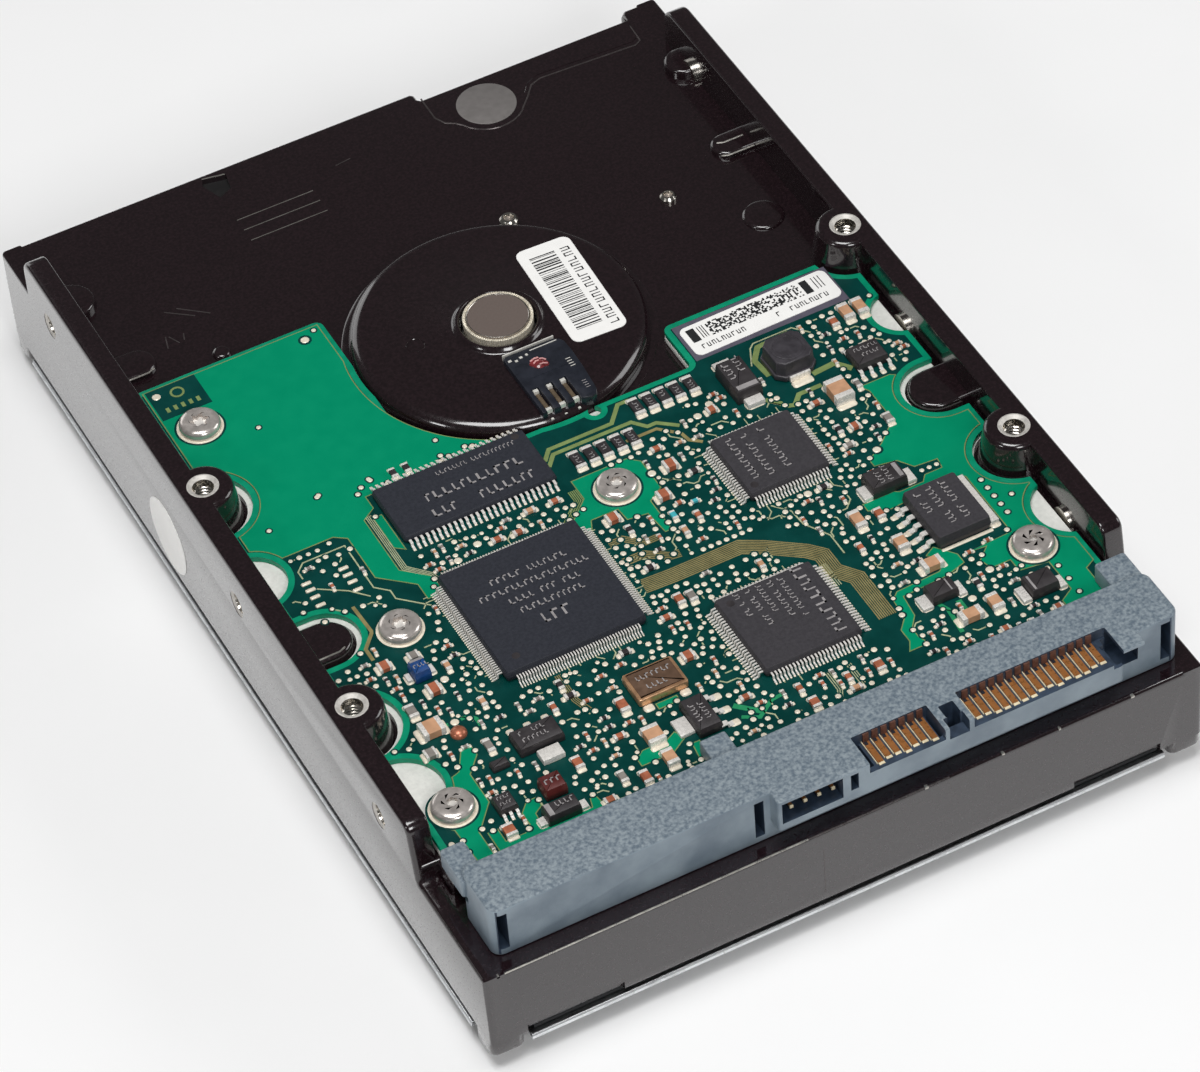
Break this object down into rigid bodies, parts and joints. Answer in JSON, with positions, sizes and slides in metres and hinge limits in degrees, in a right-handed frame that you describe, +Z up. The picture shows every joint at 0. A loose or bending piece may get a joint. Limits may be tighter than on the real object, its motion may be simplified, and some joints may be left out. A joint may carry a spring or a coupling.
{
  "type": "hard disk drive",
  "caption": "Low rectangular disk drive lying cover down: black cast frame with side rails, green circuit board, motor disc, grey serial connector bar at one end.",
  "frame": {"origin": "centre of the drive's outline on the flat face of its cover, which rests on the table", "axes": "+Y along the length away from the connector end, +X across the width to the right of the connector end seen from the board side, +Z up out of the board side"},
  "size_m": [0.1016, 0.147, 0.0261],
  "materials": {
    "black_coated_aluminium": "glossy black electro-coat on die-cast aluminium",
    "stamped_steel": "bright zinc-plated sheet",
    "screw_steel": "nickel-plated, lightly satin",
    "ground_steel": "ground",
    "laminated_steel": "plain stamped",
    "spring_steel": "thin bright spring sheet",
    "machined_aluminium": "machined",
    "polished_platter": "mirror polished",
    "magnet_nickel": "nickel plated",
    "enamelled_copper": "varnished winding wire",
    "green_laminate": "solder mask on glass laminate",
    "white_foam": "soft white foam",
    "grey_nylon": "mottled blue-grey glass-filled nylon",
    "chip_epoxy": "matte moulded epoxy",
    "ferrite_black": "semi-gloss ferrite",
    "crystal_can": "gold-rimmed lid",
    "black_plastic": "semi-gloss",
    "amber_film": "polyimide film",
    "seal_rubber": "matte",
    "filter_fleece": "fleece"
  },
  "bodies": {
    "chassis": {"base_casting": "black_coated_aluminium", "top_cover": "stamped_steel", "cover_gasket": "seal_rubber", "cover_screw_1": "screw_steel", "cover_screw_2": "screw_steel", "cover_screw_3": "screw_steel", "cover_screw_4": "screw_steel", "cover_screw_5": "screw_steel", "cover_screw_6": "screw_steel", "pivot_cover_screw": "screw_steel", "circuit_board": "green_laminate", "foam_pad": "white_foam", "board_screw_1": "screw_steel", "board_screw_2": "screw_steel", "board_screw_3": "screw_steel", "board_screw_4": "screw_steel", "board_screw_5": "screw_steel", "connector_housing": "grey_nylon", "motor_connector": "black_plastic", "controller_chip": "chip_epoxy", "memory_chip": "chip_epoxy", "motor_driver_chip": "chip_epoxy", "interface_chip": "chip_epoxy", "regulator_chip": "chip_epoxy", "power_inductor": "ferrite_black", "clock_crystal": "crystal_can", "bearing_cap": "ground_steel", "bearing_sleeve": "ground_steel", "stator_core": "laminated_steel", "stator_windings": "enamelled_copper", "pivot_shaft": "ground_steel", "flex_cable": "amber_film", "flex_connector": "black_plastic", "vcm_lower_yoke": "laminated_steel", "vcm_lower_magnet": "magnet_nickel", "vcm_upper_magnet": "magnet_nickel", "vcm_upper_yoke": "laminated_steel", "yoke_post_1": "ground_steel", "yoke_post_2": "ground_steel", "latch_pin": "ground_steel", "recirculation_filter": "filter_fleece"},
    "spindle": {"spindle_shaft": "ground_steel", "spindle_hub": "machined_aluminium", "rotor_magnet": "magnet_nickel", "platter_lower": "polished_platter", "platter_spacer": "machined_aluminium", "platter_upper": "polished_platter", "disk_clamp": "laminated_steel", "clamp_screw": "screw_steel"},
    "actuator": {"actuator_arm": "machined_aluminium", "pivot_bearing_lower": "ground_steel", "pivot_bearing_upper": "ground_steel", "voice_coil": "enamelled_copper", "head_suspension_1": "spring_steel", "head_suspension_2": "spring_steel", "head_suspension_3": "spring_steel", "head_suspension_4": "spring_steel"},
    "latch": {"actuator_latch": "black_plastic"}
  },
  "joints": [
    {"name": "spindle_spin", "type": "hinge", "parent": "chassis", "child": "spindle", "pos_m": [0.0005, 0.023, 0.0088], "axis": [0, 0, 1], "continuous": true},
    {"name": "actuator_swing", "type": "hinge", "parent": "chassis", "child": "actuator", "pos_m": [0.0275, -0.027, 0.0085], "axis": [0, 0, -1], "range_deg": [0, 28.5]},
    {"name": "latch_swing", "type": "hinge", "parent": "chassis", "child": "latch", "pos_m": [0.0395, -0.0605, 0.0085], "axis": [0, 0, 1], "range_deg": [0, 12], "stiffness_Nm_per_rad": 0.0002}
  ]
}
